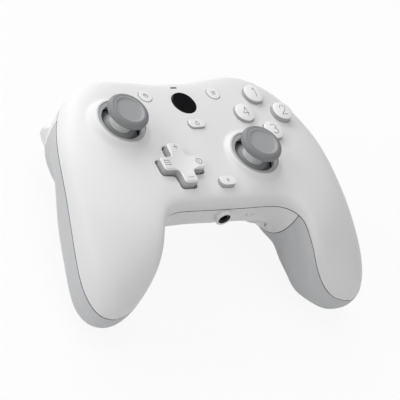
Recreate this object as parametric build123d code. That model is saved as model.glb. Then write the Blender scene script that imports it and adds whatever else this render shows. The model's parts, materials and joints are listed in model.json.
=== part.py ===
from build123d import *
import math
import os

os.makedirs("parts", exist_ok=True)

# A two-handed game controller. X runs to the right hand, Y away from the
# player and Z out of the face. The face plane is at Z = 0 while modelling.

# Body
body_half_width = 75.0
body_length = 106.0
body_depth = 50.0
wall = 2.4
panel_wall = 1.2
seam_gap = 0.4
panel_gap = 0.2
tip_share = 5.0
block_reach = 2.6
overrun = 2.0
fit_gap = 0.05
loose_gap = 0.4

# Boards
upper_board_top = -8.35
board_thickness = 1.5
main_board_top = -19.5
upper_board_half_width = 46.0
upper_board_back = -22.5
upper_board_front = 34.0
main_board_half_width = 46.0
main_board_back = -15.0
main_board_front = 24.6
tongue_half_width = 12.0
tongue_front = 34.0
spacer_radius = 2.0
spacer_half_spread = 11.0
spacer_front_y = 22.0
spacer_left_x = -31.0
spacer_right_x = 39.0
spacer_back_y = -12.0

# Thumbsticks
left_stick_x, left_stick_y = -39.4, 17.2
right_stick_x, right_stick_y = 21.7, -3.8
stick_pivot_z = -13.0
cap_radius = 9.65
cap_top = 9.4
cap_widest = 7.2
cap_under = 5.9
cap_crest_radius = 6.9
dish_radius = 6.1
dish_depth = 0.6
dish_sag = 0.15
neck_radius = 3.8
neck_flare = 1.4
dome_radius = 13.6
dome_wall = 1.2
dome_spread = 54.0
socket_radius = 11.4
socket_wall = 0.7
socket_lip = 1.9
socket_lip_fall = 0.35
socket_lip_thickness = 0.9
socket_top = 1.1
socket_flange = 1.5
socket_flange_thickness = 0.9
collar_top = 1.35
collar_radius = 12.4
collar_spread = 5.0
collar_depth = 7.8
collar_blend = 3.0
collar_round = 0.5
board_hole_clearance = 0.4
housing_width = 14.0
housing_wall = 0.8
housing_height = 7.3
sensor_thickness = 3.2
sensor_width = 9.5
carrier_gap = 0.4
carrier_rest = 1.3
carrier_thickness = 1.0
carrier_post = 1.2
carrier_post_width = 3.0
stem_radius = 1.6
ring_gap = 1.0
ring_wall = 1.1
ring_height = 1.6
pivot_pin_radius = 0.55

# D-pad
dpad_x, dpad_y = -20.1, -7.7
dpad_span = 21.8
dpad_arm = 7.3
dpad_top = 2.8
dpad_bottom = -3.3
dpad_corner = 1.7
dpad_bevel = 0.8
dpad_hollow_radius = 7.5
dpad_hollow_depth = 1.0
dpad_gap = 0.75
dpad_rim_radius = 15.0
dpad_rim_depth = 1.3
dpad_pivot_z = -5.2
dpad_ring_gap = 1.1
dpad_ring_wall = 1.1
dpad_ring_height = 1.4
dpad_hub_radius = 1.8
dpad_yoke_width = 3.0
dpad_yoke_wall = 1.6
dpad_post_cover = 0.4
dpad_peg_radius = 1.2
dpad_peg_place = 8.6
dpad_peg_bottom = -5.8
dpad_pad_thickness = 0.8

# Face buttons: centre of the diamond and reach to each button
diamond_x, diamond_y = 39.2, 19.4
diamond_reach = 10.5
face_button_radius = 4.9
face_button_top = 1.8
face_button_travel = 1.0
face_button_crown = 0.7

# Centre buttons
view_x, view_y = 18.5, 32.0
view_radius = 3.3
view_top = -0.3
share_y = 14.8
share_length, share_width = 8.5, 4.6
share_top = 0.8
mode_y = -17.4
mode_length, mode_width = 8.2, 4.9
mode_top = 1.0
home_y = 27.2
home_radius = 6.0
home_top = 0.0
home_crown = 0.4
small_travel = 0.6
light_y = 37.0
light_length, light_width = 3.4, 0.9
light_drop = 0.1
light_foot = -7.0

# Guides and pads for all buttons
button_gap = 0.15
button_edge = 0.4
button_flange = 0.9
button_flange_thickness = 1.0
guide_bottom = -5.0
guide_wall = 1.3
pad_rest = 0.3
pad_web = 3.0

# Bumpers
bay_inner_x = 20.5
bay_outer_x = 57.0
bay_slant = 6.5
bay_slant_depth = 26.0
bay_back_y = 27.5
bumper_height = 9.8
bumper_wall = 2.2
bumper_pin_x, bumper_pin_y = 23.6, 37.0
bumper_pin_radius = 1.1
bumper_boss_radius = 2.2

# Triggers and their brackets
trigger_pin_y, trigger_pin_z = 30.3, -17.5
trigger_pin_radius = 1.3
trigger_hub_radius = 2.6
trigger_inner_x, trigger_outer_x = 28.6, 50.8
trigger_reach = 23.7
trigger_wall = 2.2
trigger_cheek = 1.8
trigger_round = 1.5
trigger_back = 0.5
trigger_top_gap = 0.4
bracket_wall = 1.8
bracket_back_y = 25.0
bracket_top_z = -12.8
bracket_ear_height = 3.6
bracket_shelf = 1.4
# Face of the trigger from its top to its lip: angle below level from the pin,
# and share of the reach
trigger_face_shares = [(16.8, 0.366), (43.7, 0.519), (48.6, 0.759), (49.9, 0.976)]
trigger_under_shares = [(57.5, 1.010), (67.0, 1.000), (77.6, 0.962)]
# Outline of both triggers seen from the face: shares of the body's half width
# and length
trigger_plan_shares = [(0.333, 0.440), (0.467, 0.447), (0.600, 0.428), (0.693, 0.408), (0.760, 0.352)]

# Back buttons
paddle_x, paddle_y = 31.0, -10.0
paddle_length, paddle_width = 27.0, 9.0
paddle_turn = 4.0
paddle_top = -20.0
paddle_rise = 1.3
paddle_travel = 0.9
paddle_flange = 1.2
paddle_flange_thickness = 1.0
paddle_gap = 0.35

# Ports
jack_z = -12.6
jack_bore = 1.8
jack_depth = 14.0
jack_sleeve = 2.6
jack_boss = 3.95
jack_boss_rise = 2.0
jack_mouth_drop = 0.6
jack_body_width, jack_body_length = 6.2, 12.0
jack_body_back = -22.8
usb_width, usb_height = 8.9, 3.2
usb_length = 7.4
usb_wall = 0.3
usb_front = 40.9
usb_tongue_height = 0.7
usb_tongue_inset = 1.0
port_gap = 0.25
recess_x = 14.6
recess_length, recess_width, recess_depth = 6.6, 4.2, 0.9
recess_z = -14.4
pin_hole_radius = 0.5

# Screws and posts
grip_screw_x, grip_screw_y = 57.5, -42.0
grip_screw_split = -33.0
side_screw_x, side_screw_y = 54.5, 2.0
side_screw_split = -20.0
post_radius = 3.2
boss_radius = 4.0
screw_radius = 1.1
screw_head_radius = 2.4
screw_head_height = 1.8
screw_socket_radius = 1.0
screw_socket_depth = 0.9
screw_bite = 8.0
screw_seat = 3.0

# Rumble motors
motor_x, motor_y, motor_z = 59.0, -23.0, -28.0
motor_length = 12.0
left_motor_radius, right_motor_radius = 6.4, 5.4
motor_shaft_radius = 0.8
motor_shaft_length = 5.2
weight_length = 3.6
weight_gap = 0.7
weight_inset = 1.0
cradle_length = 7.0
cradle_wall = 1.6

# Edge of a grip panel towards the middle, seen from the face, and the corner
# where it turns along the bay: shares of the body's half width and length
panel_edge_shares = [(0.485, -0.360), (0.487, -0.270), (0.510, -0.110), (0.565, 0.060), (0.640, 0.190), (0.705, 0.262)]
panel_turn_share = (0.735, 0.279)

# Each row is one slice across the body, from the middle to a grip tip. The
# shares are, in order: inner end x and y, outer end x and y, seam height at
# the inner and outer end, height of the face, height of the back.
slice_shares = [
    (0.000, -0.247, 0.000, 0.402, -0.166, -0.240, -0.006, -0.540),
    (0.187, -0.246, 0.187, 0.408, -0.166, -0.240, -0.006, -0.560),
    (0.333, -0.247, 0.373, 0.430, -0.164, -0.240, -0.008, -0.630),
    (0.427, -0.264, 0.560, 0.421, -0.162, -0.240, -0.012, -0.695),
    (0.485, -0.300, 0.723, 0.355, -0.164, -0.240, -0.024, -0.818),
    (0.515, -0.340, 0.842, 0.236, -0.188, -0.240, -0.040, -0.800),
    (0.533, -0.383, 0.919, 0.094, -0.240, -0.248, -0.068, -0.870),
    (0.555, -0.425, 0.958, -0.057, -0.310, -0.308, -0.112, -0.930),
    (0.581, -0.462, 0.983, -0.208, -0.400, -0.416, -0.184, -0.980),
    (0.616, -0.494, 0.996, -0.340, -0.490, -0.532, -0.276, -0.990),
    (0.659, -0.523, 0.992, -0.443, -0.570, -0.620, -0.372, -0.965),
    (0.707, -0.547, 0.965, -0.517, -0.630, -0.664, -0.472, -0.910),
    (0.760, -0.564, 0.925, -0.557, -0.666, -0.680, -0.558, -0.830),
    (0.808, -0.572, 0.884, -0.571, -0.680, -0.684, -0.616, -0.760),
    (0.840, -0.575, 0.859, -0.575, -0.684, -0.686, -0.664, -0.708),
]
# Fullness of each slice's face, of its back towards the outside and towards
# the inside, and how far its deepest place leans inwards.
fullness_shares = [
    (0.93, 0.80, 0.86, 0.00),
    (0.93, 0.80, 0.83, 0.00),
    (0.92, 0.78, 0.77, 0.00),
    (0.90, 0.66, 0.69, 0.05),
    (0.85, 0.84, 0.70, -0.03),
    (0.78, 0.60, 0.67, 0.14),
    (0.73, 0.44, 0.65, 0.15),
    (0.69, 0.55, 0.63, 0.13),
    (0.67, 0.59, 0.60, 0.12),
    (0.64, 0.64, 0.58, 0.05),
    (0.61, 0.70, 0.57, 0.00),
    (0.58, 0.70, 0.56, 0.00),
    (0.56, 0.66, 0.55, 0.00),
    (0.55, 0.60, 0.55, 0.00),
    (0.55, 0.55, 0.55, 0.00),
]


def slice_ends(row, inset):
    """Plan ends of a slice, drawn in by inset, with its four heights."""
    xi, yi, xo, yo, zi, zo, zf, zr = row
    inner = Vector(xi * body_half_width, yi * body_length, zi * body_depth)
    outer = Vector(xo * body_half_width, yo * body_length, zo * body_depth)
    across = Vector(outer.X - inner.X, outer.Y - inner.Y, 0)
    step = across.normalized() * inset
    return inner + step, outer - step, zf * body_depth - inset, zr * body_depth + inset


def quarter(end, crown, fullness):
    """A quarter of a slice, upright at the seam and level at the crown."""
    corner = Vector(end.X, end.Y, crown.Z)
    upright = end + (corner - end) * fullness
    level = crown + (corner - crown) * fullness
    return Edge.make_bezier(end, upright, level, crown)


def slice_face(row, fullness, side, inset):
    """One closed slice of the skin, of four quarters."""
    inner, outer, z_face, z_back = slice_ends(row, inset)
    full_face, full_out, full_in, lean = fullness
    inner = Vector(side * inner.X, inner.Y, inner.Z)
    outer = Vector(side * outer.X, outer.Y, outer.Z)
    middle = (inner + outer) / 2
    deepest = middle + (inner - outer) * lean
    top = Vector(middle.X, middle.Y, z_face)
    bottom = Vector(deepest.X, deepest.Y, z_back)
    quarters = [
        quarter(outer, top, full_face),
        quarter(inner, top, full_face),
        quarter(inner, bottom, full_in),
        quarter(outer, bottom, full_out),
    ]
    return Face(Wire(quarters))


def both_sides(make, rows):
    """Slices from one grip tip over the middle to the other grip tip."""
    right = [make(index, 1) for index in rows]
    left = [make(index, -1) for index in rows if index > 0]
    left.reverse()
    return left + right


def skin(inset):
    """The whole body as one closed form, drawn in by inset."""
    rows = []
    for index, row in enumerate(slice_shares):
        inner, outer, z_face, z_back = slice_ends(row, 0)
        if (outer - inner).length > tip_share * inset:
            rows.append(index)
    return loft(both_sides(lambda i, s: slice_face(slice_shares[i], fullness_shares[i], s, inset), rows))


def seam_block(front):
    """Everything in front of the seam, or everything behind it."""
    half_gap = seam_gap / 2
    far = Vector(0, 0, body_depth + overrun)

    def block_face(index, side, push):
        inner, outer, z_face, z_back = slice_ends(slice_shares[index], -block_reach)
        lift = Vector(0, -push, half_gap if front else -half_gap)
        low = [inner + lift, outer + lift]
        high = [outer + lift + far, inner + lift + far] if front else [outer + lift - far, inner + lift - far]
        corners = [Vector(side * v.X, v.Y, v.Z) for v in low + high]
        return make_face(Polyline(*corners, close=True))

    last = len(slice_shares) - 1
    faces = both_sides(lambda i, s: block_face(i, s, 0), range(len(slice_shares)))
    ends = [block_face(last, -1, overrun), block_face(last, 1, overrun)]
    return loft([ends[0]] + faces + [ends[1]])


def mirrored(shape):
    """The same piece on the other side of the body."""
    return mirror(shape, Plane.YZ)


def on_side(shape, side):
    return shape if side > 0 else mirrored(shape)


def prism(face, low, high):
    """A flat outline in the XY plane pulled from one height to another."""
    return Pos(0, 0, low) * extrude(face, amount=high - low)


def rod(x, y, radius, low, high):
    return Pos(x, y, low) * Cylinder(radius, high - low, align=(Align.CENTER, Align.CENTER, Align.MIN))


def rod_along_x(y, z, radius, start, end):
    turned = Pos(start, y, z) * Rot(0, 90, 0)
    return turned * Cylinder(radius, end - start, align=(Align.CENTER, Align.CENTER, Align.MIN))


def rod_along_y(x, z, radius, start, end):
    turned = Pos(x, start, z) * Rot(-90, 0, 0)
    return turned * Cylinder(radius, end - start, align=(Align.CENTER, Align.CENTER, Align.MIN))


def block(x0, x1, y0, y1, z0, z1):
    box = Box(x1 - x0, y1 - y0, z1 - z0, align=(Align.MIN, Align.MIN, Align.MIN))
    return Pos(x0, y0, z0) * box


def crowned(shape, x, y, radius, top, crown):
    """Trim a button to a domed top that drops by crown at its edge."""
    ball_radius = (radius ** 2 + crown ** 2) / (2 * crown)
    return shape & (Pos(x, y, top - ball_radius) * Sphere(ball_radius))


outer_seam_z = slice_shares[0][5] * body_depth

# The skin at the depths the pieces need
body = skin(0)
hollow = skin(wall)
panel_seat = skin(panel_wall + panel_gap / 2)
panel_inside = skin(panel_wall)
inner_space = skin(wall + fit_gap)
paddle_space = skin(wall + button_gap)
front_block = seam_block(True)
back_block = seam_block(False)


def grip_zone(gap):
    """The handle's back that the grip panel covers, seen from the face."""
    points = [Vector(x * body_half_width + gap, y * body_length, 0) for x, y in panel_edge_shares]
    turn_x, turn_y = panel_turn_share
    top_y = turn_y * body_length - gap
    turn = Vector(turn_x * body_half_width, top_y, 0)
    far_x, far_y = body_half_width + overrun, -body_length
    edge = Spline(*points)
    rest = Polyline(points[-1], turn, (far_x, top_y, 0), (far_x, far_y, 0), (points[0].X, far_y, 0), points[0])
    return prism(make_face([edge, rest]), -body_depth - overrun, 0)


def bay_zone(gap):
    """The opening at a top corner that holds the bumper and the trigger."""
    outer_low = bay_outer_x - bay_slant * body_depth / bay_slant_depth
    seam_z = outer_seam_z
    corners = [
        (bay_inner_x + gap, seam_z),
        (bay_outer_x - gap, seam_z),
        (outer_low - gap, seam_z - body_depth),
        (bay_inner_x + gap, seam_z - body_depth),
    ]
    outline = make_face(Polyline(*[Vector(x, bay_back_y + gap, z) for x, z in corners], close=True))
    return extrude(outline, amount=body_length, dir=(0, 1, 0))


# Front shell
class Button:
    """Place, outline and heights of one press button."""

    def __init__(self, x, y, length, width, top, travel, crown=0):
        self.x, self.y, self.length, self.width = x, y, length, width
        self.top, self.travel, self.crown = top, travel, crown

    def outline(self, grow):
        if self.length > self.width:
            return Pos(self.x, self.y) * SlotOverall(self.length + 2 * grow, self.width + 2 * grow)
        return Pos(self.x, self.y) * Circle(self.width / 2 + grow)

    def cap(self):
        """The button with its flange under the guide."""
        flange_top = guide_bottom - fit_gap
        stem = prism(self.outline(0), flange_top, self.top)
        if self.crown:
            stem = crowned(stem, self.x, self.y, self.width / 2, self.top, self.crown)
            rims = [edge for edge in stem.edges().filter_by(GeomType.CIRCLE) if edge.is_closed]
            rim = [max(rims, key=lambda edge: edge.center().Z)]
        else:
            rim = stem.edges().group_by(Axis.Z)[-1]
        stem = fillet(rim, button_edge)
        return stem + prism(self.outline(button_flange), flange_top - button_flange_thickness, flange_top)

    def hole(self):
        return prism(self.outline(button_gap), guide_bottom - overrun, self.top)

    def guide(self):
        """Sleeve below the face that the button slides in."""
        return prism(self.outline(button_gap + guide_wall), guide_bottom, -wall / 2)

    def pad(self):
        """Rubber pad on the board, clear of the pressed button."""
        return prism(self.outline(0), upper_board_top, self.pad_top())

    def pad_top(self):
        return guide_bottom - fit_gap - button_flange_thickness - self.travel - pad_rest


diamond_steps = [("upper", 0, 1), ("left", -1, 0), ("right", 1, 0), ("lower", 0, -1)]
buttons = {
    name + "_face_button": Button(
        diamond_x + dx * diamond_reach,
        diamond_y + dy * diamond_reach,
        2 * face_button_radius,
        2 * face_button_radius,
        face_button_top,
        face_button_travel,
        face_button_crown,
    )
    for name, dx, dy in diamond_steps
}
buttons["view_button"] = Button(-view_x, view_y, 2 * view_radius, 2 * view_radius, view_top, small_travel)
buttons["menu_button"] = Button(view_x, view_y, 2 * view_radius, 2 * view_radius, view_top, small_travel)
buttons["share_button"] = Button(0, share_y, share_length, share_width, share_top, small_travel)
buttons["mode_button"] = Button(0, mode_y, mode_length, mode_width, mode_top, small_travel)
buttons["home_button"] = Button(0, home_y, 2 * home_radius, 2 * home_radius, home_top, small_travel, home_crown)
sticks = {"left": (left_stick_x, left_stick_y), "right": (right_stick_x, right_stick_y)}


def collar(x, y):
    """Cone that stands out of the face round a thumbstick."""
    foot = collar_radius + collar_spread
    corners = [(0, 0, collar_top), (collar_radius, 0, collar_top), (foot, 0, collar_top - collar_depth),
               (0, 0, collar_top - collar_depth)]
    return Pos(x, y) * revolve(make_face(Polyline(*corners, close=True)), Axis.Z)


def is_collar_foot(edge, x, y):
    """True for an edge where the face meets the collar of a thumbstick."""
    places = [edge @ (step / 4) for step in range(5)]
    spread = [math.hypot(place.X - x, place.Y - y) for place in places]
    inside = min(spread) > collar_radius and max(spread) < collar_radius + collar_spread
    return inside and max(place.Z for place in places) < collar_top


def collared_body():
    """The body with a collar that blends into the face round each thumbstick."""
    form = body
    for x, y in sticks.values():
        form += collar(x, y)
        form = fillet([edge for edge in form.edges() if is_collar_foot(edge, x, y)], collar_blend)
    crests = [edge for edge in form.edges().filter_by(GeomType.CIRCLE)
              if edge.is_closed and abs(edge.center().Z - collar_top) < fit_gap]
    return fillet(crests, collar_round)


def cross(span, arm, corner):
    """Plan of the four-way pad."""
    plan = Rectangle(span, arm) + Rectangle(arm, span)
    plan = fillet(plan.vertices(), corner)
    return Pos(dpad_x, dpad_y) * plan


def lens_cut(x, y, radius, depth, surface):
    """Shallow round hollow in a surface."""
    ball_radius = (radius ** 2 + depth ** 2) / (2 * depth)
    return Pos(x, y, surface - depth + ball_radius) * Sphere(ball_radius)


def make_front_shell():
    face_z = slice_shares[0][6] * body_depth
    shell = (collared_body() - hollow) & front_block
    ceiling = front_block & panel_inside
    for button in buttons.values():
        shell += button.guide() & ceiling
    for x, y, split in post_places():
        shell += rod(x, y, post_radius, split + fit_gap, 0) & panel_inside
    shell -= lens_cut(dpad_x, dpad_y, dpad_rim_radius, dpad_rim_depth, face_z)
    shell -= prism(cross(dpad_span + 2 * dpad_gap, dpad_arm + 2 * dpad_gap, dpad_corner), -3 * wall, overrun)
    for x, y in sticks.values():
        shell -= rod(x, y, socket_radius + fit_gap, -body_depth / 4, overrun)
        shell -= rod(x, y, socket_radius + socket_flange + loose_gap, -body_depth / 4, socket_seat())
    for button in buttons.values():
        shell -= button.hole()
    shell -= prism(Pos(0, light_y) * SlotOverall(light_length + 2 * fit_gap, light_width + 2 * fit_gap),
                   guide_bottom - overrun, overrun)
    for x, y, split in post_places():
        shell -= rod(x, y, screw_radius + fit_gap, split - overrun, split + screw_bite + fit_gap)
    return shell


def post_places():
    """Screw posts: plan place and the height where post and boss meet."""
    places = []
    for side in (-1, 1):
        places.append((side * grip_screw_x, grip_screw_y, grip_screw_split))
        places.append((side * side_screw_x, side_screw_y, side_screw_split))
    return places


def make_status_light():
    """Light pipe that ends just below the face."""
    return prism(Pos(0, light_y) * SlotOverall(light_length, light_width), light_foot, 0) & skin_top_trim()


def skin_top_trim():
    return Pos(0, 0, -light_drop) * body


# Rear shell and grip panels
def paddle_plan(grow):
    plan = SlotOverall(paddle_length + 2 * grow, paddle_width + 2 * grow)
    return Pos(paddle_x, paddle_y) * Rot(0, 0, 90 - paddle_turn) * plan


def paddle_zone(grow, top=paddle_top):
    return prism(paddle_plan(grow), -body_depth - overrun, top)


def make_back_button():
    """Slab that follows the back, with a flange inside the shell."""
    top = paddle_top - paddle_travel - loose_gap
    slab = paddle_zone(0, top) & (Pos(0, 0, -paddle_rise) * body)
    slab -= Pos(0, 0, paddle_flange_thickness) * paddle_space
    flange = paddle_zone(paddle_flange, top) & paddle_space
    flange -= Pos(0, 0, paddle_flange_thickness) * paddle_space
    return slab + flange


def cradle(radius):
    """Saddle under a rumble motor."""
    seat = block(motor_x - radius - cradle_wall, motor_x + radius + cradle_wall,
                 motor_y - cradle_length / 2, motor_y + cradle_length / 2, -body_depth, motor_z)
    seat -= rod_along_y(motor_x, motor_z, radius + fit_gap, motor_y - motor_length, motor_y + motor_length)
    return seat


def make_rear_shell():
    covered = grip_zone(0)
    form = body - covered - mirrored(covered)
    form += panel_seat
    shell = (form - hollow) & back_block
    for x, y, split in post_places():
        shell += rod(x, y, boss_radius, -body_depth, split) & panel_seat
    shell += cradle(right_motor_radius) & panel_seat
    shell += mirrored(cradle(left_motor_radius)) & panel_seat
    shell += jack_boss_form()
    for side in (-1, 1):
        shell -= on_side(bay_zone(0), side)
        shell -= on_side(paddle_zone(paddle_gap), side)
    for x, y, split in post_places():
        shell -= rod(x, y, screw_radius + fit_gap, split - screw_seat - overrun, split + overrun)
        shell -= rod(x, y, screw_head_radius + loose_gap / 2, -body_depth - overrun, split - screw_seat)
    shell -= rod_along_y(0, jack_z, jack_sleeve + port_gap, -body_length, jack_body_back)
    shell -= usb_slot(port_gap, usb_front - usb_length, body_length / 2)
    shell -= bottom_recess()
    return shell


def jack_boss_form():
    """Round boss on the bottom edge for the headset plug."""
    bottom_y = slice_shares[0][1] * body_length
    return rod_along_y(0, jack_z, jack_boss, bottom_y - jack_boss_rise, bottom_y + wall)


def bottom_recess():
    """Small oval recess with a pin hole beside the headset port."""
    bottom_y = slice_shares[0][1] * body_length
    outline = Pos(recess_x, bottom_y - overrun, recess_z) * Rot(90, 0, 0) * SlotOverall(recess_length, recess_width)
    cut = extrude(outline, amount=overrun + recess_depth, dir=(0, 1, 0))
    hole = rod_along_y(recess_x, recess_z, pin_hole_radius, bottom_y - overrun, bottom_y + wall + overrun)
    return cut + hole


def make_grip_panel():
    panel = (body - panel_inside) & back_block & grip_zone(panel_gap)
    return panel - bay_zone(-seam_gap)


# Ports
def usb_slot(grow, start, end):
    centre_z = main_board_top + fit_gap + usb_height / 2
    outline = Pos(0, start, centre_z) * Rot(90, 0, 0) * SlotOverall(usb_width + 2 * grow, usb_height + 2 * grow)
    return extrude(outline, amount=end - start, dir=(0, 1, 0))


def make_usb_socket():
    socket = usb_slot(0, usb_front - usb_length, usb_front)
    socket -= usb_slot(-usb_wall, usb_front - usb_length + usb_wall, usb_front + overrun)
    centre_z = main_board_top + fit_gap + usb_height / 2
    half_tongue = usb_width / 2 - usb_height / 2
    return socket + block(-half_tongue, half_tongue, usb_front - usb_length, usb_front - usb_tongue_inset,
                          centre_z - usb_tongue_height / 2, centre_z + usb_tongue_height / 2)


def make_headset_jack():
    half = jack_body_width / 2
    top = upper_board_top - board_thickness - fit_gap
    start = jack_body_back + port_gap
    body_block = block(-half, half, start, start + jack_body_length, 2 * jack_z - top, top)
    mouth = slice_shares[0][1] * body_length - jack_boss_rise + jack_mouth_drop
    jack = body_block + rod_along_y(0, jack_z, jack_sleeve, mouth, start + overrun)
    return jack - rod_along_y(0, jack_z, jack_bore, mouth - overrun, mouth + jack_depth)


# Boards
def stick_board_hole(x, y, low, high):
    return rod(x, y, dome_radius + board_hole_clearance, low, high)


def make_upper_board():
    low, high = upper_board_top - board_thickness, upper_board_top
    board = block(-upper_board_half_width, upper_board_half_width, upper_board_back, upper_board_front, low, high)
    right = buttons["right_face_button"]
    board += rod(right.x, right.y, face_button_radius + overrun, low, high)
    board &= inner_space
    for x, y in sticks.values():
        board -= stick_board_hole(x, y, low - overrun, high + overrun)
    for x, y, split in post_places():
        board -= rod(x, y, boss_radius + loose_gap, low - overrun, high + overrun)
    return board


def make_main_board():
    low, high = main_board_top - board_thickness, main_board_top
    board = block(-main_board_half_width, main_board_half_width, main_board_back, main_board_front, low, high)
    board += block(-tongue_half_width, tongue_half_width, main_board_back, tongue_front, low, high)
    for side in (-1, 1):
        board -= on_side(paddle_zone(paddle_flange + loose_gap) & block(0, body_half_width, -body_length, body_length,
                                                                       -body_depth, low - overrun), side)
    return board & inner_space


def spacer_places():
    return [
        (-spacer_half_spread, spacer_front_y),
        (spacer_half_spread, spacer_front_y),
        (spacer_left_x, spacer_back_y),
        (spacer_right_x, spacer_back_y),
    ]


def make_board_spacers():
    low, high = main_board_top + fit_gap, upper_board_top - board_thickness - fit_gap
    return [rod(x, y, spacer_radius, low, high) for x, y in spacer_places()]


# Thumbsticks, drawn round an upright axis through the origin
def dome_point(radius, angle):
    """Point of an arc round the pivot, by its angle from upright."""
    return Vector(radius * math.sin(angle), 0, stick_pivot_z + radius * math.cos(angle))


def make_stick_cap():
    """Dished cap, neck and dome in one piece, turned about the stick."""
    reach = math.radians(dome_spread)
    outer, inner = dome_radius, dome_radius - dome_wall
    floor = Vector(0, 0, cap_top - dish_depth - dish_sag)
    floor_edge = Vector(dish_radius, 0, cap_top - dish_depth)
    crest = Vector(cap_crest_radius, 0, cap_top)
    widest = Vector(cap_radius, 0, cap_widest)
    under = Vector((cap_radius + neck_radius) / 2, 0, cap_under)
    neck_top = Vector(neck_radius, 0, cap_under - dish_depth)
    flare = math.asin((neck_radius + neck_flare) / outer)
    neck_foot = dome_point(outer, flare)
    slope = Vector(math.cos(flare), 0, -math.sin(flare))
    outline = [
        Spline(floor, floor_edge, tangents=[Vector(1, 0, 0), Vector(1, 0, dish_sag)]),
        Spline(floor_edge, crest, tangents=[Vector(1, 0, 1), Vector(1, 0, 0)]),
        Spline(crest, widest, tangents=[Vector(1, 0, 0), Vector(0, 0, -1)]),
        Spline(widest, under, tangents=[Vector(0, 0, -1), Vector(-1, 0, 0)]),
        Spline(under, neck_top, tangents=[Vector(-1, 0, 0), Vector(0, 0, -1)]),
        Spline(neck_top, neck_foot, tangents=[Vector(0, 0, -1), slope]),
        ThreePointArc(neck_foot, dome_point(outer, (flare + reach) / 2), dome_point(outer, reach)),
        Line(dome_point(outer, reach), dome_point(inner, reach)),
        ThreePointArc(dome_point(inner, reach), dome_point(inner, reach / 2), dome_point(inner, 0)),
        Line(dome_point(inner, 0), floor),
    ]
    cap = revolve(make_face(outline), Axis.Z)
    return cap - rod(0, 0, stem_radius + fit_gap, stick_pivot_z, cap_under)


def make_stick_stem():
    stem = rod(0, 0, stem_radius, stick_pivot_z - 2 * pivot_pin_radius, cap_under - fit_gap)
    reach = stem_radius + ring_gap + ring_wall
    return stem + rod_along_y(0, stick_pivot_z, pivot_pin_radius, -reach, reach)


def tilt_ring(hub, gap, ring_side, height, post_reach, z):
    """Ring between a cross pin along Y inside and pins along X outside."""
    inner = hub + gap
    outer = inner + ring_side
    ring = rod(0, 0, outer, z - height / 2, z + height / 2)
    ring -= rod(0, 0, inner, z - height / 2 - overrun, z + height / 2 + overrun)
    ring -= rod_along_y(0, z, pivot_pin_radius + fit_gap, -outer - overrun, outer + overrun)
    middle = (inner + outer) / 2
    for side in (-1, 1):
        pin = rod_along_x(0, z, pivot_pin_radius, middle, post_reach)
        ring += on_side(pin, side)
    return ring


def stick_post_x():
    return stem_radius + ring_gap + ring_wall + carrier_gap


def make_stick_ring():
    return tilt_ring(stem_radius, ring_gap, ring_wall, ring_height, stick_post_x() + carrier_post, stick_pivot_z)


def make_stick_carrier():
    """Tray that slides down inside the housing when the stick is pressed."""
    inside = housing_width / 2 - housing_wall - carrier_gap
    low = main_board_top + fit_gap + housing_wall + carrier_rest
    tray = block(-inside, inside, -inside, inside, low, low + carrier_thickness)
    half = carrier_post_width / 2
    for side in (-1, 1):
        post = block(stick_post_x(), stick_post_x() + carrier_post, -half, half, low, stick_pivot_z + half)
        post -= rod_along_x(0, stick_pivot_z, pivot_pin_radius + fit_gap, 0, stick_post_x() + carrier_post + overrun)
        tray += on_side(post, side)
    return tray


def make_stick_housing():
    low = main_board_top + fit_gap
    half = housing_width / 2
    high = low + housing_height
    box = block(-half, half, -half, half, low, high)
    sensor = sensor_width / 2
    box += block(-sensor, sensor, -half - sensor_thickness, -half, low, high)
    box += block(half, half + sensor_thickness, -sensor, sensor, low, high)
    inside = half - housing_wall
    return box - block(-inside, inside, -inside, inside, low + housing_wall, high + overrun)


def socket_seat():
    """Height of the flat seats under the collars for the flanges of the rings."""
    return slice_shares[0][6] * body_depth - wall


def make_socket_ring():
    """Ring with a lip that falls inwards and a flange under the shell."""
    inner, mouth = socket_radius - socket_wall, socket_radius - socket_lip
    lip_top = socket_top - socket_lip_fall
    lip_foot = lip_top - socket_lip_thickness
    flange_top = socket_seat() - fit_gap
    foot = flange_top - socket_flange_thickness
    corners = [(socket_radius, socket_top), (mouth, lip_top), (mouth, lip_foot), (inner, lip_foot), (inner, foot),
               (socket_radius + socket_flange, foot), (socket_radius + socket_flange, flange_top),
               (socket_radius, flange_top)]
    ring = revolve(make_face(Polyline(*[(x, 0, z) for x, z in corners], close=True)), Axis.Z)
    return fillet(ring.edges().group_by(Axis.Z)[-1], socket_wall / 3)


# D-pad
def make_dpad():
    plan = cross(dpad_span, dpad_arm, dpad_corner)
    pad = prism(plan, dpad_bottom, dpad_top)
    pad = chamfer(pad.edges().group_by(Axis.Z)[-1], dpad_bevel)
    pad -= lens_cut(dpad_x, dpad_y, dpad_hollow_radius, dpad_hollow_depth, dpad_top)
    pad += rod(dpad_x, dpad_y, dpad_hub_radius, dpad_pivot_z - dpad_ring_height / 2, dpad_bottom)
    reach = dpad_hub_radius + dpad_ring_gap + dpad_ring_wall
    pad += Pos(dpad_x, dpad_y) * rod_along_y(0, dpad_pivot_z, pivot_pin_radius, -reach, reach)
    for k in range(4):
        angle = math.pi / 2 * k
        x = dpad_x + dpad_peg_place * math.cos(angle)
        y = dpad_y + dpad_peg_place * math.sin(angle)
        pad += rod(x, y, dpad_peg_radius, dpad_peg_bottom, dpad_bottom)
    return pad


def dpad_post_x():
    return dpad_hub_radius + dpad_ring_gap + dpad_ring_wall + carrier_gap


def make_dpad_ring():
    ring = tilt_ring(dpad_hub_radius, dpad_ring_gap, dpad_ring_wall, dpad_ring_height,
                     dpad_post_x() + dpad_yoke_wall, dpad_pivot_z)
    return Pos(dpad_x, dpad_y) * ring


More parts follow.
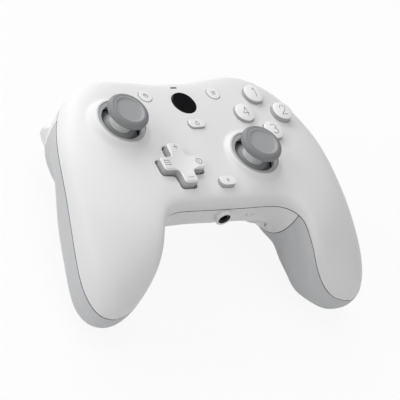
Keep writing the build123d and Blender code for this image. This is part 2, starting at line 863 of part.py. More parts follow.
def make_dpad_yoke():
    """Two posts on a foot that carry the D-pad's tilt ring."""
    half = dpad_yoke_width / 2
    start, end = dpad_post_x(), dpad_post_x() + dpad_yoke_wall
    low = upper_board_top + fit_gap
    yoke = block(-end, end, -half, half, low, low + dpad_pad_thickness)
    for side in (-1, 1):
        post = block(start, end, -half, half, low, dpad_pivot_z + pivot_pin_radius + dpad_post_cover)
        post -= rod_along_x(0, dpad_pivot_z, pivot_pin_radius + fit_gap, 0, end + overrun)
        yoke += on_side(post, side)
    return Pos(dpad_x, dpad_y) * yoke


def make_dpad_pad():
    low = upper_board_top + fit_gap
    outer = dpad_peg_place + dpad_peg_radius + loose_gap
    inner = dpad_peg_place - dpad_peg_radius - loose_gap
    pad = rod(dpad_x, dpad_y, outer, low, low + dpad_pad_thickness)
    return pad - rod(dpad_x, dpad_y, inner, low - overrun, low + overrun)


def make_face_button_pad():
    low = upper_board_top + fit_gap
    names = [name + "_face_button" for name, dx, dy in diamond_steps]
    high = min(buttons[name].pad_top() for name in names)
    pad = None
    for name in names:
        button = buttons[name]
        disc = prism(button.outline(0), low, high)
        pad = disc if pad is None else pad + disc
    half, reach = pad_web / 2, diamond_reach
    web_top = low + (high - low) / 2
    pad += block(diamond_x - reach, diamond_x + reach, diamond_y - half, diamond_y + half, low, web_top)
    pad += block(diamond_x - half, diamond_x + half, diamond_y - reach, diamond_y + reach, low, web_top)
    return pad


def make_centre_button_pads():
    low = upper_board_top + fit_gap
    names = ["view_button", "menu_button", "share_button", "mode_button", "home_button"]
    return [prism(buttons[name].outline(0), low, buttons[name].pad_top()) for name in names]


# Bumpers, drawn on the right side
def bumper_heights():
    high = outer_seam_z - seam_gap
    return high - bumper_height, high


def make_bumper():
    """Wall that carries on the skin above the trigger, on an upright pin."""
    low, high = bumper_heights()
    slab = block(0, body_half_width, bay_back_y, body_length, low, high)
    plate = (body - skin(bumper_wall)) & bay_zone(loose_gap) & slab
    low_web, high_web = low + loose_gap, high - loose_gap
    boss = rod(bumper_pin_x, bumper_pin_y, bumper_boss_radius, low_web, high_web)
    web = block(bumper_pin_x - bumper_boss_radius, bumper_pin_x + bumper_boss_radius / 2, bumper_pin_y,
                body_length / 2, low_web, high_web) & body
    bumper = plate + boss + (web & bay_zone(loose_gap))
    return bumper - rod(bumper_pin_x, bumper_pin_y, bumper_pin_radius + fit_gap, low - overrun, high + overrun)


def make_bumper_pin():
    low, high = bumper_heights()
    return rod(bumper_pin_x, bumper_pin_y, bumper_pin_radius, low - bracket_shelf - fit_gap, high - fit_gap)


# Triggers, drawn on the right side
def trigger_curve(drawn_in):
    """Points down the finger face and back under the tip, in the plane across the body."""
    points = []
    for angle, share in trigger_face_shares + trigger_under_shares:
        reach, turn = trigger_reach * share, math.radians(angle)
        points.append(Vector(0, trigger_pin_y + reach * math.cos(turn), trigger_pin_z - reach * math.sin(turn)))
    points[0] = Vector(0, points[0].Y, bumper_heights()[0] - trigger_top_gap)
    drawn = []
    for place, point in enumerate(points):
        run = (points[min(place + 1, len(points) - 1)] - points[max(place - 1, 0)]).normalized()
        drawn.append(point + Vector(0, run.Z, -run.Y) * drawn_in)
    return drawn


def trigger_side(drawn_in):
    """Side view of the trigger between its face and the pin."""
    curve = trigger_curve(drawn_in)
    tip = len(trigger_face_shares)
    top = Vector(0, curve[0].Y, curve[0].Z - drawn_in)
    face = [top, *curve[1:tip]]
    step = Vector(0, trigger_pin_y + trigger_hub_radius, top.Z)
    hub_top = Vector(0, trigger_pin_y + trigger_hub_radius, trigger_pin_z)
    hub = Vector(0, trigger_pin_y, trigger_pin_z)
    back = Vector(0, trigger_pin_y + trigger_back, top.Z - trigger_hub_radius)
    under = Spline(*curve[tip - 1:])
    return make_face([Spline(*face), under, Polyline(curve[-1], back, hub, hub_top, step, top)])


def trigger_plan():
    """Plan of the trigger's front, seen from the face."""
    curve = [Vector(x * body_half_width, y * body_length, 0) for x, y in trigger_plan_shares]
    near = [Vector(curve[-1].X, 0, 0), Vector(curve[0].X, 0, 0)]
    return prism(make_face([Spline(*curve), Polyline(curve[-1], *near, curve[0])]), -body_depth - overrun, 0)


def make_trigger():
    """Curved blade with two cheeks and a hub, hollow behind."""
    width = trigger_outer_x - trigger_inner_x
    solid = extrude(Pos(trigger_inner_x, 0, 0) * trigger_side(0), amount=width, dir=(1, 0, 0))
    solid = solid & trigger_plan() & bay_zone(loose_gap)
    front_y = trigger_pin_y + 1.5 * trigger_hub_radius
    solid = fillet([edge for edge in solid.edges() if edge.center().Y > front_y], trigger_round)
    hollow_width = width - 2 * trigger_cheek - bay_slant
    pocket = extrude(Pos(trigger_inner_x + trigger_cheek, 0, 0) * trigger_side(trigger_wall), amount=hollow_width,
                     dir=(1, 0, 0))
    pocket &= Pos(0, -trigger_wall, 0) * trigger_plan()
    behind = block(trigger_inner_x + trigger_cheek, trigger_inner_x + trigger_cheek + hollow_width, 0,
                   trigger_pin_y + trigger_hub_radius / 2, -body_depth, trigger_pin_z - trigger_hub_radius)
    solid = solid - pocket - behind
    solid += rod_along_x(trigger_pin_y, trigger_pin_z, trigger_hub_radius, trigger_inner_x, trigger_outer_x)
    solid -= rod_along_x(trigger_pin_y, trigger_pin_z, trigger_pin_radius + fit_gap, 0, body_half_width)
    return solid


def ear_positions():
    inner = trigger_inner_x - loose_gap - bracket_wall
    outer = trigger_outer_x + loose_gap
    return [(inner, inner + bracket_wall), (outer, outer + bracket_wall)]


def make_trigger_pin():
    (start, a), (b, end) = ear_positions()
    return rod_along_x(trigger_pin_y, trigger_pin_z, trigger_pin_radius, start, end)


def make_trigger_bracket():
    """Wall behind the bay with two ears for the trigger and a bumper shelf."""
    low = bumper_heights()[0]
    wall_block = block(bay_inner_x, bay_outer_x, bracket_back_y, bracket_back_y + bracket_wall, -body_depth, bracket_top_z)
    bracket = wall_block & inner_space
    for start, end in ear_positions():
        ear_low, ear_high = trigger_pin_z - bracket_ear_height, trigger_pin_z + bracket_ear_height
        ear = block(start, end, bracket_back_y, trigger_pin_y, ear_low, ear_high)
        ear += rod_along_x(trigger_pin_y, trigger_pin_z, trigger_hub_radius - loose_gap / 2, start, end)
        bracket += ear
    shelf_top = low - fit_gap
    shelf_half = bumper_boss_radius
    bracket += block(bumper_pin_x - shelf_half, bumper_pin_x + shelf_half, bracket_back_y, bumper_pin_y,
                     shelf_top - bracket_shelf, shelf_top)
    bracket += rod(bumper_pin_x, bumper_pin_y, shelf_half, shelf_top - bracket_shelf, shelf_top)
    bracket -= rod_along_x(trigger_pin_y, trigger_pin_z, trigger_pin_radius + fit_gap, bay_inner_x, body_half_width)
    return bracket - rod(bumper_pin_x, bumper_pin_y, bumper_pin_radius + fit_gap, -body_depth, 0)


# Screws and rumble motors
def make_screws():
    """Shell screws, head towards the back."""
    screws = []
    for x, y, split in post_places():
        seat = split - screw_seat
        shank = rod(x, y, screw_radius, seat - fit_gap, split + screw_bite)
        head = rod(x, y, screw_head_radius, seat - fit_gap - screw_head_height, seat - fit_gap)
        socket = rod(x, y, screw_socket_radius, seat - screw_head_height - overrun,
                     seat - fit_gap - screw_head_height + screw_socket_depth)
        screws.append(shank + head - socket)
    return screws


def make_motor(radius):
    """Motor can with its shaft, drawn on the right side."""
    start = motor_y - motor_length / 2
    motor = rod_along_y(motor_x, motor_z, radius, start, start + motor_length)
    return motor + rod_along_y(motor_x, motor_z, motor_shaft_radius, start + motor_length - overrun,
                               start + motor_length + motor_shaft_length)


def make_motor_weight(radius):
    """Half disc on the motor's shaft."""
    start = motor_y + motor_length / 2 + weight_gap
    weight = rod_along_y(motor_x, motor_z, radius - weight_inset, start, start + weight_length)
    keep = block(motor_x - radius, motor_x + radius, start - overrun, start + weight_length + overrun,
                 motor_z - radius, motor_z + 2 * motor_shaft_radius)
    weight &= keep
    return weight - rod_along_y(motor_x, motor_z, motor_shaft_radius + fit_gap, start - overrun, start + 2 * weight_length)


def make_all():
    """Every piece by name, in the modelling frame."""
    pieces = {
        "front_shell": make_front_shell(),
        "rear_shell": make_rear_shell(),
        "shell_screws": make_screws(),
        "upper_board": make_upper_board(),
        "main_board": make_main_board(),
        "board_spacers": make_board_spacers(),
        "headset_jack": make_headset_jack(),
        "usb_socket": make_usb_socket(),
        "status_light": make_status_light(),
        "dpad": make_dpad(),
        "dpad_tilt_ring": make_dpad_ring(),
        "dpad_yoke": make_dpad_yoke(),
        "dpad_pad": make_dpad_pad(),
        "face_button_pad": make_face_button_pad(),
        "centre_button_pads": make_centre_button_pads(),
    }
    for name, button in buttons.items():
        pieces[name] = button.cap()
    stick_pieces = {
        "stick_cap": make_stick_cap(),
        "stick_stem": make_stick_stem(),
        "stick_tilt_ring": make_stick_ring(),
        "stick_carrier": make_stick_carrier(),
        "stick_housing": make_stick_housing(),
        "stick_socket_ring": make_socket_ring(),
    }
    for side, (x, y) in sticks.items():
        for name, piece in stick_pieces.items():
            pieces[side + "_" + name] = Pos(x, y) * piece
    side_pieces = {
        "grip_panel": make_grip_panel(),
        "bumper": make_bumper(),
        "bumper_pin": make_bumper_pin(),
        "trigger": make_trigger(),
        "trigger_pin": make_trigger_pin(),
        "trigger_bracket": make_trigger_bracket(),
        "back_button": make_back_button(),
    }
    for side, sign in (("left", -1), ("right", 1)):
        for name, piece in side_pieces.items():
            pieces[side + "_" + name] = on_side(piece, sign)
        radius = left_motor_radius if sign < 0 else right_motor_radius
        pieces[side + "_rumble_motor"] = on_side(make_motor(radius), sign)
        pieces[side + "_rumble_weight"] = on_side(make_motor_weight(radius), sign)
    return pieces


def stand(pieces):
    """Shift that puts the middle of the underside at the origin."""
    boxes = [Compound(piece).bounding_box() if isinstance(piece, list) else piece.bounding_box()
             for piece in pieces.values()]
    front, back = max(box.max.Y for box in boxes), min(box.min.Y for box in boxes)
    return Pos(0, -(front + back) / 2, -min(box.min.Z for box in boxes))


pieces = make_all()
shift = stand(pieces)
print("Shift of the modelling frame:", [round(value, 4) for value in shift.position])
for name, piece in pieces.items():
    solids = piece if isinstance(piece, list) else piece.solids()
    export_step(shift * Compound(children=list(solids)), os.path.join("parts", name + ".step"))
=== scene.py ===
"""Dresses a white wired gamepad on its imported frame, for a picture from above its left grip."""

import json
import logging
import math
from dataclasses import dataclass, field
from enum import Enum
from typing import Callable, Iterable, Sequence

import bpy
from mathutils import Matrix, Vector
from mathutils.bvhtree import BVHTree

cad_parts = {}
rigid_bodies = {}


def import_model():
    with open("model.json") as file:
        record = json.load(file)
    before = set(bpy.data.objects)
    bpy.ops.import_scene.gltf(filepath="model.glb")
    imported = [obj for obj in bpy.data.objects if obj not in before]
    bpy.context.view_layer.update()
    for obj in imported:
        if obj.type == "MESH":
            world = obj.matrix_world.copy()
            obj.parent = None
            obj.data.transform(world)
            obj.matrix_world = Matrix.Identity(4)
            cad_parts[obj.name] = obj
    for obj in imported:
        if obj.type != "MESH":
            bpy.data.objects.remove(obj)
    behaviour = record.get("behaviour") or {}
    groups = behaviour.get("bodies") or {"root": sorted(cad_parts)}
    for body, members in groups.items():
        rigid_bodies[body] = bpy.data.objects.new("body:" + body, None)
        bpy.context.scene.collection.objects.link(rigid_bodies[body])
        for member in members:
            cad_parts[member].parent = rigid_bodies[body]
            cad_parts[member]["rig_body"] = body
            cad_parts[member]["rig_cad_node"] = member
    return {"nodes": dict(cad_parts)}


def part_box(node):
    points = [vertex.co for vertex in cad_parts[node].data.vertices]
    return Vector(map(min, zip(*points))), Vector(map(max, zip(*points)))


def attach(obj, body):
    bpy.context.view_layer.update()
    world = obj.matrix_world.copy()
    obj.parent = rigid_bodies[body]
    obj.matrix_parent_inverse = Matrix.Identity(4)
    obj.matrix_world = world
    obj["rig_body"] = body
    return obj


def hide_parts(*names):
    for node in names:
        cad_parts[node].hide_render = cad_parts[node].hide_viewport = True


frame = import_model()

LOG = logging.getLogger("gamepad")
CREASE = 32.0
MERGE_DISTANCE = 2e-6
NOISE_MIDDLE = 0.5
WHITE = (1, 1, 1, 1)


class Slot(Enum):
    """Material slots of the record that the pieces take their finish from."""

    SHELL = "white_shell"
    BUTTON = "white_button"
    GLOSS = "black_gloss"
    WINDOW = "smoked_window"
    GRIP = "grey_grip"
    STICK = "grey_stick"
    RING = "grey_ring"
    BOARD = "circuit_board"
    PAD = "pad_rubber"
    BRASS = "brass"
    BLACK = "black_plastic"
    STEEL = "steel"
    INNER = "inner_plastic"


class Side(Enum):
    """The two sides of the gamepad, by the hand that holds them."""

    LEFT = "left"
    RIGHT = "right"


def deselect() -> None:
    """Leaves edit mode if need be and deselects every object."""
    if bpy.context.object is not None and bpy.context.object.mode != "OBJECT":
        bpy.ops.object.mode_set(mode="OBJECT")
    bpy.ops.object.select_all(action="DESELECT")


def pick(piece: bpy.types.Object) -> None:
    """Makes one piece the only selected and the active object."""
    deselect()
    piece.hide_set(False)
    piece.select_set(True)
    bpy.context.view_layer.objects.active = piece


def edit_all(piece: bpy.types.Object, steps: Callable[[], None]) -> None:
    """Runs edit-mode steps on the whole mesh of a piece.

    Args:
        piece: the object to edit.
        steps: the edit-mode work, which starts with everything selected.
    """
    pick(piece)
    bpy.ops.object.mode_set(mode="EDIT")
    bpy.ops.mesh.select_all(action="SELECT")
    steps()
    bpy.ops.object.mode_set(mode="OBJECT")


def settle(piece: bpy.types.Object) -> None:
    """Puts a piece's place, turn and size into its mesh, so that it sits at the origin."""
    pick(piece)
    bpy.ops.object.transform_apply(location=True, rotation=True, scale=True)


def smooth(piece: bpy.types.Object, angle: float = CREASE) -> None:
    """Shades a piece smoothly up to an angle between faces.

    Args:
        piece: the object to shade.
        angle: largest angle in degrees that is still shaded smoothly.
    """
    pick(piece)
    bpy.ops.object.shade_smooth_by_angle(angle=math.radians(angle), keep_sharp_edges=False)


def moulded_copy(node: str, angle: float = CREASE) -> bpy.types.Object:
    """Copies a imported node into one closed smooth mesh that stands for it.

    Args:
        node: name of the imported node.
        angle: largest angle in degrees that is still shaded smoothly.

    Returns:
        The copy, with its doubles merged.
    """
    source = frame["nodes"][node]
    piece = source.copy()
    piece.data = source.data.copy()
    piece.name = f"{node}_moulding"
    piece.parent = None
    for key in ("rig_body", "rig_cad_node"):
        if key in piece:
            del piece[key]
    bpy.context.scene.collection.objects.link(piece)
    pick(piece)
    if piece.data.has_custom_normals:
        bpy.ops.mesh.customdata_custom_splitnormals_clear()
    edit_all(piece, lambda: bpy.ops.mesh.remove_doubles(threshold=MERGE_DISTANCE))
    smooth(piece, angle)
    return piece


def box_of(node: str) -> tuple[Vector, Vector, Vector]:
    """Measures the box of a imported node.

    Args:
        node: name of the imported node.

    Returns:
        Its lowest corner, its highest corner and its middle, in metres.
    """
    low, high = (Vector(corner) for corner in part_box(node))
    return low, high, (low + high) / 2


class NodeBench:
    """Lays nodes in a tree and wires them, so that a material reads as a short recipe."""

    def __init__(self, tree: bpy.types.NodeTree) -> None:
        """Starts on an empty tree."""
        self.tree = tree
        self.column = 0

    def add(self, kind: str, **values: object) -> bpy.types.Node:
        """Adds a node and sets its properties.

        Args:
            kind: the node's type name.
            values: properties of the node by name.

        Returns:
            The new node.
        """
        node = self.tree.nodes.new(kind)
        node.location = (self.column * 190, 0)
        self.column += 1
        for name, value in values.items():
            setattr(node, name, value)
        return node

    def fill(self, node: bpy.types.Node, **values: object) -> None:
        """Sets or wires the inputs of a node.

        Args:
            node: the node.
            values: a number, a colour or an output for each input, by the input's name with
                underscores for its spaces.
        """
        for name, value in values.items():
            self.feed(value, node.inputs[name.replace("_", " ")])

    def feed(self, value: object, target: bpy.types.NodeSocket) -> None:
        """Wires an output to an input, or sets the input to a value."""
        if isinstance(value, bpy.types.NodeSocket):
            self.tree.links.new(value, target)
        else:
            target.default_value = value

    def math(self, operation: str, first: object, second: object = None) -> bpy.types.NodeSocket:
        """Adds a Math node.

        Args:
            operation: the operation's name.
            first: a socket or a number.
            second: a socket, a number or nothing.

        Returns:
            The node's result.
        """
        node = self.add("ShaderNodeMath", operation=operation)
        for socket, value in zip(node.inputs, (first, second)):
            if value is not None:
                self.feed(value, socket)
        return node.outputs[0]


def new_group(name: str, inputs: Sequence[tuple[str, str, object]],
              outputs: Sequence[tuple[str, str]]) -> tuple[bpy.types.NodeTree, NodeBench]:
    """Starts a shader node group with named sockets.

    Args:
        name: the group's name.
        inputs: name, socket type and default of each input.
        outputs: name and socket type of each output.

    Returns:
        The group and a bench to lay its nodes on.
    """
    group = bpy.data.node_groups.new(name, "ShaderNodeTree")
    for label, kind, value in inputs:
        socket = group.interface.new_socket(label, in_out="INPUT", socket_type=kind)
        if value is not None:
            socket.default_value = value
    for label, kind in outputs:
        group.interface.new_socket(label, in_out="OUTPUT", socket_type=kind)
    return group, NodeBench(group)


def build_mould_grain() -> bpy.types.NodeTree:
    """Builds the group for the fine spark-eroded grain of moulded plastic.

    Returns:
        A group that puts out Height, Roughness and Tone from a place on the piece.
    """
    group, bench = new_group(
        "mould_grain",
        [("Vector", "NodeSocketVector", None), ("Grain Size", "NodeSocketFloat", 0.00025),
         ("Roughness", "NodeSocketFloat", 0.5), ("Roughness Spread", "NodeSocketFloat", 0.06),
         ("Tone Spread", "NodeSocketFloat", 0.02)],
        [("Height", "NodeSocketFloat"), ("Roughness", "NodeSocketFloat"), ("Tone", "NodeSocketFloat")])
    start = bench.add("NodeGroupInput").outputs
    end = bench.add("NodeGroupOutput")
    scale = bench.math("DIVIDE", 1.0, start["Grain Size"])
    pits = bench.add("ShaderNodeTexVoronoi", feature="SMOOTH_F1")
    bench.fill(pits, Smoothness=0.7, Vector=start["Vector"], Scale=scale)
    fine = bench.add("ShaderNodeTexNoise")
    bench.fill(fine, Detail=3.0, Vector=start["Vector"], Scale=scale)
    fine_share = 0.6
    height = bench.math("ADD", pits.outputs["Distance"],
                        bench.math("MULTIPLY", fine.outputs["Fac"], fine_share))
    cloud = bench.add("ShaderNodeTexNoise")
    bench.fill(cloud, Scale=38.0, Detail=4.0, Vector=start["Vector"])
    drift = bench.math("SUBTRACT", cloud.outputs["Fac"], NOISE_MIDDLE)
    speck = bench.math("SUBTRACT", fine.outputs["Fac"], NOISE_MIDDLE)
    wander = bench.math("ADD", drift, speck)
    wander = bench.math("MULTIPLY", wander, start["Roughness Spread"])
    rough = bench.math("ADD", start["Roughness"], wander)
    tone = bench.math("ADD", 1.0, bench.math("MULTIPLY", drift, start["Tone Spread"]))
    bench.fill(end, Height=height, Roughness=rough, Tone=tone)
    return group


def build_handling() -> bpy.types.NodeTree:
    """Builds the group for faint handling marks: soft smears and a few hair scratches.

    Returns:
        A group that puts out a Gloss mask and a Scratch height.
    """
    group, bench = new_group(
        "handling",
        [("Vector", "NodeSocketVector", None), ("Amount", "NodeSocketFloat", 0.3)],
        [("Gloss", "NodeSocketFloat"), ("Scratch", "NodeSocketFloat")])
    start = bench.add("NodeGroupInput").outputs
    end = bench.add("NodeGroupOutput")
    smear = bench.add("ShaderNodeTexNoise")
    bench.fill(smear, Scale=90.0, Detail=2.0, Distortion=1.4, Vector=start["Vector"])
    ramp = bench.add("ShaderNodeMapRange")
    bench.fill(ramp, From_Min=NOISE_MIDDLE, From_Max=0.75, Value=smear.outputs["Fac"])
    gloss = bench.math("MULTIPLY", ramp.outputs["Result"], start["Amount"])
    hair = bench.add("ShaderNodeTexWave", wave_type="BANDS", bands_direction="DIAGONAL")
    bench.fill(hair, Scale=900.0, Distortion=9.0, Detail=2.0, Vector=start["Vector"])
    thinness = 24.0
    thin = bench.math("POWER", hair.outputs["Fac"], thinness)
    bench.fill(end, Gloss=gloss, Scratch=bench.math("MULTIPLY", thin, gloss))
    return group


GRAIN = build_mould_grain()
HANDLING = build_handling()


@dataclass(frozen=True)
class Finish:
    """One finish: its colour, how it takes the light, and its grain.

    Colour is linear red, green and blue, grain_size is in metres, and grain_depth is the
    distance of the bump in metres.
    """

    name: str
    slot: Slot
    colour: tuple[float, float, float]
    roughness: float = 0.5
    metallic: float = 0.0
    coat: float = 0.0
    specular: float = 0.5
    grain_size: float = 0.00030
    grain_depth: float = 0.00001
    roughness_spread: float = 0.10
    tone_spread: float = 0.03
    handling: float = 0.25
    smear_polish: float = 0.18
    bump_strength: float = 0.6
    coat_roughness: float = 0.06

    def material(self) -> bpy.types.Material:
        """Builds the material once and returns it afterwards.

        Returns:
            The material of this finish.
        """
        known = bpy.data.materials.get(self.name)
        if known is not None:
            return known
        material = bpy.data.materials.new(self.name)
        material.use_nodes = True
        tree = material.node_tree
        tree.nodes.clear()
        bench = NodeBench(tree)
        place = bench.add("ShaderNodeTexCoord").outputs["Object"]
        grain = bench.add("ShaderNodeGroup", node_tree=GRAIN)
        bench.fill(grain, Vector=place, Grain_Size=self.grain_size, Roughness=self.roughness,
                   Roughness_Spread=self.roughness_spread, Tone_Spread=self.tone_spread)
        marks = bench.add("ShaderNodeGroup", node_tree=HANDLING)
        bench.fill(marks, Vector=place, Amount=self.handling)
        tint = bench.add("ShaderNodeMix", data_type="RGBA", blend_type="MULTIPLY")
        bench.fill(tint, Factor=1.0, A=(*self.colour, 1.0), B=grain.outputs["Tone"])
        rough = bench.math("SUBTRACT", grain.outputs["Roughness"],
                           bench.math("MULTIPLY", marks.outputs["Gloss"], self.smear_polish))
        height = bench.math("SUBTRACT", grain.outputs["Height"], marks.outputs["Scratch"])
        bump = bench.add("ShaderNodeBump")
        bench.fill(bump, Strength=self.bump_strength, Distance=self.grain_depth, Height=height)
        shader = bench.add("ShaderNodeBsdfPrincipled")
        bench.fill(shader, Base_Color=tint.outputs["Result"], Metallic=self.metallic, Roughness=rough,
                   Specular_IOR_Level=self.specular, Coat_Weight=self.coat,
                   Coat_Roughness=self.coat_roughness, Normal=bump.outputs["Normal"])
        bench.fill(bench.add("ShaderNodeOutputMaterial"), Surface=shader.outputs["BSDF"])
        return material

    def dress(self, piece: bpy.types.Object, body: str | None = None) -> None:
        """Gives a piece this finish.

        Args:
            piece: the object to dress.
            body: body that the piece rides on, or nothing where it rides already.
        """
        piece.data.materials.clear()
        piece.data.materials.append(self.material())
        if body is not None:
            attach(piece, body)


SHELL_WHITE = Finish("shell_white", Slot.SHELL, (0.80, 0.80, 0.80), roughness=0.50)
BUTTON_WHITE = Finish("button_white", Slot.BUTTON, (0.88, 0.88, 0.88), roughness=0.30, grain_depth=0.000004)
PAD_WHITE = Finish("direction_pad_white", Slot.BUTTON, (0.82, 0.82, 0.815), roughness=0.40)
# Painted shade: the upright sides of the buttons and the pad get this darker grey for the shade that falls
# on them, though they are the same white plastic as their tops.
BUTTON_SIDE_PAINTED_SHADE = Finish("button_side_painted_shade", Slot.BUTTON, (0.46, 0.46, 0.46), roughness=0.45)
GRIP_GREY = Finish("grip_grey", Slot.GRIP, (0.58, 0.595, 0.61), roughness=0.62, grain_size=0.00045,
                   grain_depth=0.00003)
STICK_GREY = Finish("stick_grey", Slot.STICK, (0.345, 0.355, 0.365), roughness=0.55, grain_size=0.0002)
# Painted shade: the cap's sides and rim are a darker grey than its upward-facing dish, standing for the
# shade on them.
CAP_SIDE_PAINTED_SHADE = Finish("stick_rim_grey", Slot.STICK, (0.225, 0.23, 0.24), roughness=0.50, grain_size=0.0002)
# Partly the stem's light grey plastic, partly painted light: near white, to make up for the shade that the
# cap casts on the stem and collar.
STICK_NECK_PAINTED_LIGHT = Finish("stick_neck_grey", Slot.STICK, (0.92, 0.92, 0.92), roughness=0.22, coat=1.0,
                   grain_depth=0.000003)
RING_GREY = Finish("socket_ring_grey", Slot.RING, (0.52, 0.53, 0.54), roughness=0.40)
HOME_BLACK = Finish("home_black", Slot.GLOSS, (0.006, 0.006, 0.007), roughness=0.2, specular=0.25,
                    grain_depth=0.0, handling=0.5)
LAMP_SMOKE = Finish("lamp_smoke", Slot.WINDOW, (0.01, 0.01, 0.01), roughness=0.25, grain_depth=0.0)
MARK_GREY = Finish("mark_grey", Slot.RING, (0.16, 0.16, 0.165), roughness=0.5, grain_depth=0.0)
# Painted shade: near black that stands for the shadow inside narrow gaps and seams between pieces.
GAP_PAINTED_SHADE = Finish("gap_painted_shade", Slot.SHELL, (0.03, 0.03, 0.03), roughness=0.8, grain_depth=0.0)
BOARD_GREEN = Finish("board_green", Slot.BOARD, (0.02, 0.12, 0.05), roughness=0.3)
PAD_SILICONE = Finish("pad_silicone", Slot.PAD, (0.5, 0.5, 0.5), roughness=0.7)
TURNED_BRASS = Finish("turned_brass", Slot.BRASS, (0.7, 0.5, 0.2), roughness=0.3, metallic=1.0)
SOCKET_BLACK = Finish("socket_black", Slot.BLACK, (0.02, 0.02, 0.02), roughness=0.5)
PLATED_STEEL = Finish("plated_steel", Slot.STEEL, (0.6, 0.6, 0.62), roughness=0.28, metallic=1.0)
INNER_GREY = Finish("inner_grey", Slot.INNER, (0.12, 0.125, 0.13), roughness=0.5)


@dataclass
class Part:
    """What the sub-assemblies share: a list of the pieces that they made.

    A face is upright where its normal rises by less than side_slope.
    """

    made: list[bpy.types.Object] = field(default_factory=list, init=False)
    side_slope: float = field(default=0.45, init=False)

    def mould(self, node: str, finish: Finish, body: str, angle: float = CREASE) -> bpy.types.Object:
        """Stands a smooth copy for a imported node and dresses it.

        Args:
            node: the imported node.
            finish: its finish.
            body: the body it rides on.
            angle: largest angle in degrees that is shaded smoothly.

        Returns:
            The dressed copy.
        """
        piece = moulded_copy(node, angle)
        finish.dress(piece, body)
        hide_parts(node)
        self.made.append(piece)
        return piece

    def coat(self, node: str, finish: Finish) -> None:
        """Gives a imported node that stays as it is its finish."""
        finish.dress(frame["nodes"][node])

    @staticmethod
    def tint(piece: bpy.types.Object, finish: Finish,
             wanted: Callable[[bpy.types.MeshPolygon], bool]) -> None:
        """Gives some faces of a piece another finish.

        Args:
            piece: the piece.
            finish: the finish of those faces.
            wanted: says whether a face is one of them.
        """
        piece.data.materials.append(finish.material())
        for polygon in piece.data.polygons:
            if wanted(polygon):
                polygon.material_index = len(piece.data.materials) - 1

    def upright(self, polygon: bpy.types.MeshPolygon) -> bool:
        """Says whether a face is part of an upright side."""
        return abs(polygon.normal.z) < self.side_slope

    def mark(self, sign: "Sign", name: str, carrier: bpy.types.Object, centre: Vector, height: float,
             body: str) -> None:
        """Draws a sign on a piece and lets it ride on the same body.

        Args:
            sign: the sign.
            name: name of the new piece.
            carrier: the piece that it is drawn on.
            centre: middle of the sign.
            height: height of the sign in metres.
            body: the body that it rides on.
        """
        piece = Pen().draw(sign, name, carrier, centre, height)
        MARK_GREY.dress(piece, body)
        self.made.append(piece)


@dataclass
class Housing(Part):
    """The two shell halves, the grip panels and the screws.

    A gap counts as narrow up to gap, looked for from start_off above each face, in metres.
    """

    crease: float = 28.0
    gap: float = 0.0006
    start_off: float = 1e-5

    def build(self) -> None:
        """Makes the outer pieces that the hands hold."""
        self.mould("front_shell", SHELL_WHITE, "body", self.crease)
        self.mould("rear_shell", SHELL_WHITE, "body", self.crease)
        for side in Side:
            self.mould(f"{side.value}_grip_panel", GRIP_GREY, "body", self.crease)
        self.mould("shell_screws", PLATED_STEEL, "body")

    def shade_gaps(self, others: Iterable[bpy.types.Object]) -> None:
        """Paints shade into narrow gaps: the faces that stand across a narrow gap from another piece get
        the near-black painted-shade material.

        Args:
            others: every piece of the gamepad.
        """
        points, faces = [], []
        for piece in others:
            first = len(points)
            points += [vertex.co.copy() for vertex in piece.data.vertices]
            faces += [[first + index for index in polygon.vertices] for polygon in piece.data.polygons]
        around = BVHTree.FromPolygons(points, faces)
        for piece in self.made:
            if "screws" in piece.name:
                continue
            # Painted shade: faces that meet another piece within the gap distance get the near-black shade
            # material.
            piece.data.materials.append(GAP_PAINTED_SHADE.material())
            for polygon in piece.data.polygons:
                start = polygon.center + polygon.normal * self.start_off
                if around.ray_cast(start, polygon.normal, self.gap)[0] is not None:
                    polygon.material_index = 1


@dataclass(frozen=True)
class Sign:
    """A plain sign as pen strokes, one unit high and drawn about its middle."""

    strokes: tuple[tuple[tuple[float, float], ...], ...]

    @staticmethod
    def ring(radius: float, count: int = 16) -> tuple[tuple[float, float], ...]:
        """Points round a circle, the first one again at the end."""
        turns = (2 * math.pi * k / count for k in range(count + 1))
        return tuple((radius * math.cos(turn), radius * math.sin(turn)) for turn in turns)


ONE = Sign((((-0.20, 0.26), (0.04, 0.50), (0.04, -0.50)),))
TWO = Sign((((-0.28, 0.20), (-0.25, 0.37), (-0.11, 0.49), (0.08, 0.49), (0.24, 0.38), (0.27, 0.20),
             (0.19, 0.02), (-0.30, -0.50), (0.30, -0.50)),))
THREE = Sign((((-0.25, 0.39), (-0.09, 0.50), (0.10, 0.49), (0.24, 0.36), (0.25, 0.19), (0.14, 0.06),
               (-0.04, 0.03), (0.16, -0.02), (0.28, -0.15), (0.27, -0.35), (0.12, -0.49), (-0.10, -0.50),
               (-0.28, -0.38)),))
FOUR = Sign((((0.13, -0.50), (0.13, 0.50), (-0.31, -0.20), (0.32, -0.20)),))
PLUS = Sign((((-0.40, 0.0), (0.40, 0.0)), ((0.0, -0.40), (0.0, 0.40))))
MINUS = Sign((((-0.45, 0.0), (0.45, 0.0)),))
BOXED = Sign((((-0.45, -0.40), (0.45, -0.40), (0.45, 0.40), (-0.45, 0.40), (-0.45, -0.40)),
              ((-0.20, 0.0), (0.20, 0.0))))
RINGED = Sign((Sign.ring(0.46), ((0.0, -0.18), (0.0, 0.18))))
PANES = Sign((((-0.45, -0.12), (-0.45, 0.42), (0.18, 0.42), (0.18, 0.16)),
              ((-0.18, 0.16), (0.45, 0.16), (0.45, -0.42), (-0.18, -0.42), (-0.18, 0.16))))
BARS = Sign((((-0.45, 0.32), (0.45, 0.32)), ((-0.45, 0.0), (0.45, 0.0)), ((-0.45, -0.32), (0.45, -0.32))))
